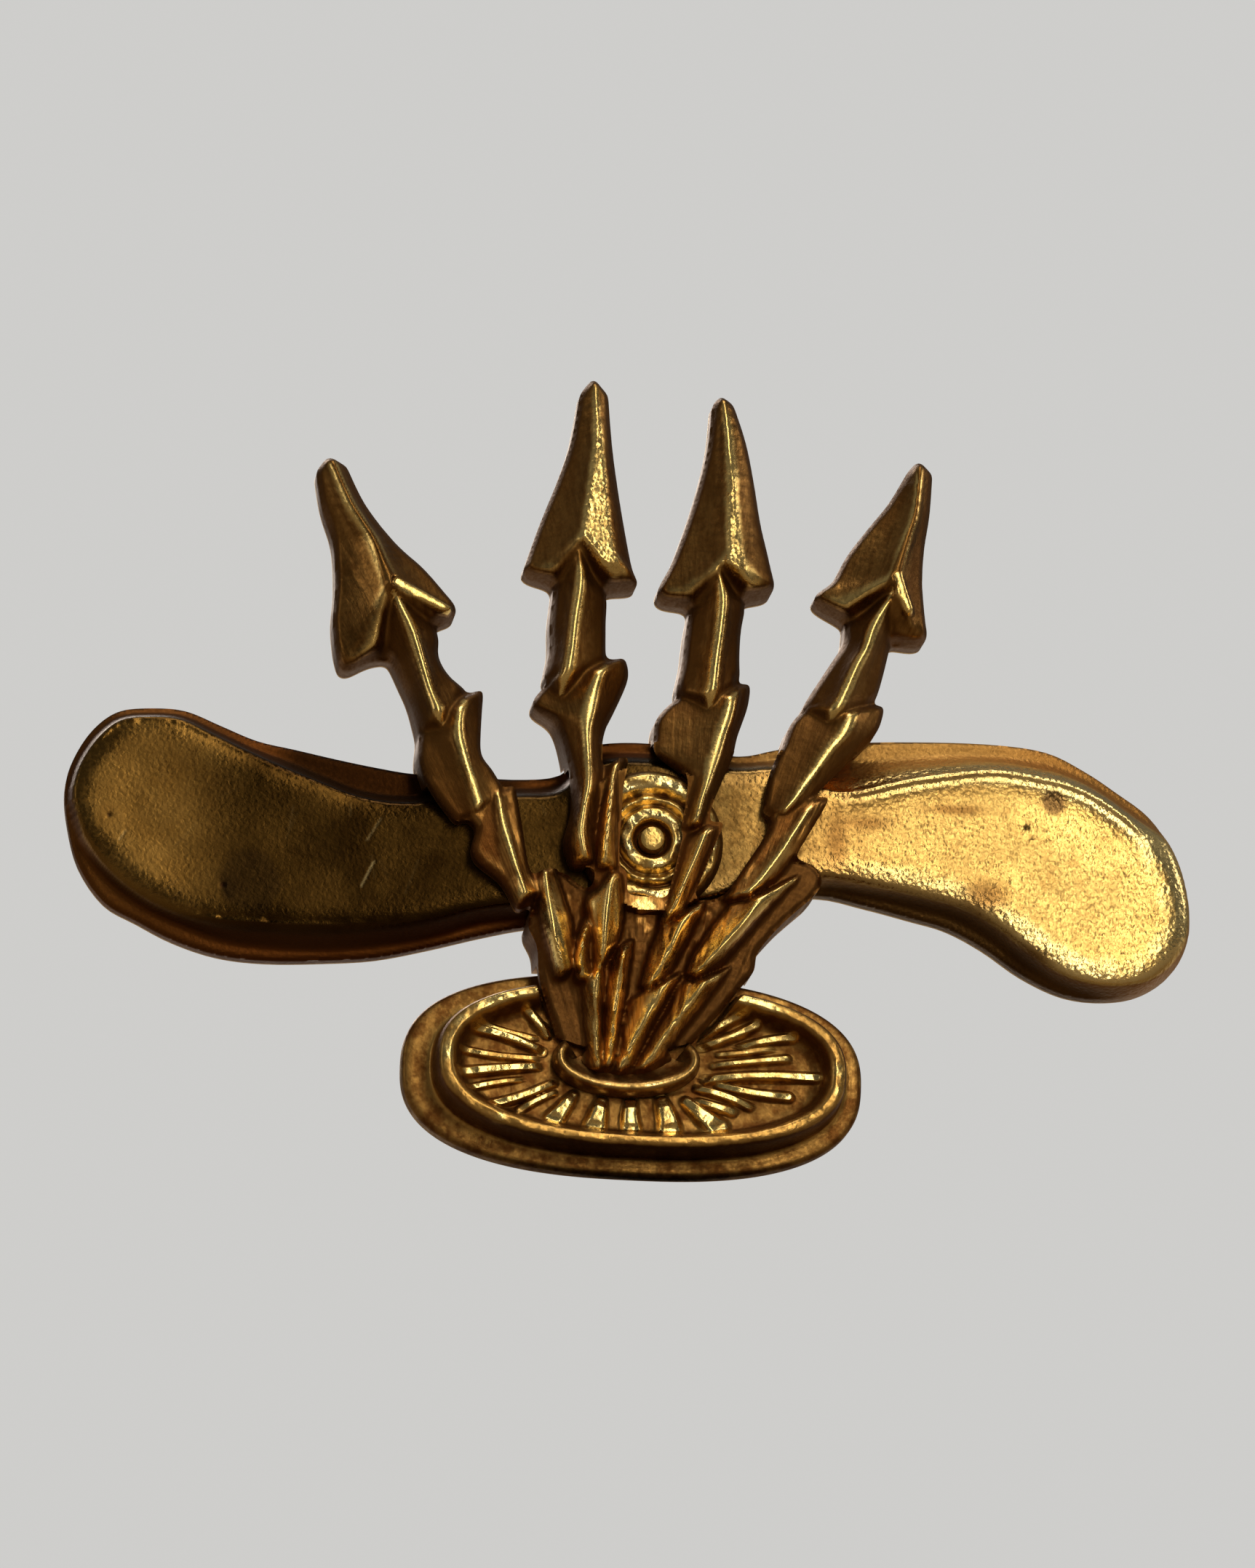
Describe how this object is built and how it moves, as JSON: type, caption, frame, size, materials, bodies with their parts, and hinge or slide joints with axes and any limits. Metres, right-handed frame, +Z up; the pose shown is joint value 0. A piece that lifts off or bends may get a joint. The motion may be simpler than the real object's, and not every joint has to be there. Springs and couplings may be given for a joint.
{
  "type": "insignia pin",
  "caption": "Gilt collar insignia pin: a propeller crossed by barbed lightning bolts that rise from an oval ribbed dish, with a hinged pin-back and a rotating safety catch.",
  "frame": {"origin": "middle of the dish's flat back face", "axes": "+X to the viewer's right along the propeller, +Z up as worn, +Y out of the back towards the wearer, so the struck front faces -Y"},
  "size_m": [0.0285, 0.0052, 0.0207],
  "materials": {
    "gilt_propeller": "gilt, matte with fine orange-peel grain, duller on the left blade",
    "gilt_hub": "gilt, granular struck surface",
    "gilt_rivet": "gilt, rubbed bright",
    "gilt_bolts": "gilt, polished ridges with reddish-brown recesses",
    "gilt_dish": "gilt, polished ribs and bead, matte brown flange",
    "gilt_collar": "gilt, rubbed bright on the crest",
    "brass_fittings": "drawn brass, satin, light tarnish",
    "brass_sleeve": "drawn brass, polished by handling",
    "pin_steel": "drawn wire, lengthwise polish"
  },
  "bodies": {
    "insignia": {"propeller": "gilt_propeller", "hub_boss": "gilt_hub", "hub_rivet": "gilt_rivet", "lightning_spray": "gilt_bolts", "dish": "gilt_dish", "dish_collar": "gilt_collar", "hinge_base": "brass_fittings", "hinge_rivet": "pin_steel", "catch_body": "brass_fittings"},
    "pin": {"pin_stem": "pin_steel"},
    "safety_sleeve": {"catch_sleeve": "brass_sleeve"}
  },
  "joints": [
    {"name": "pin_hinge", "type": "hinge", "parent": "insignia", "child": "pin", "pos_m": [-0.00977, 0.0014, 0.00464], "axis": [-0.0938, 0, 0.9956], "range_deg": [0, 110]},
    {"name": "sleeve_turn", "type": "hinge", "parent": "insignia", "child": "safety_sleeve", "pos_m": [0.0105, 0.0014, 0.00655], "axis": [0.9956, 0, 0.0938], "range_deg": [0, 120]}
  ]
}
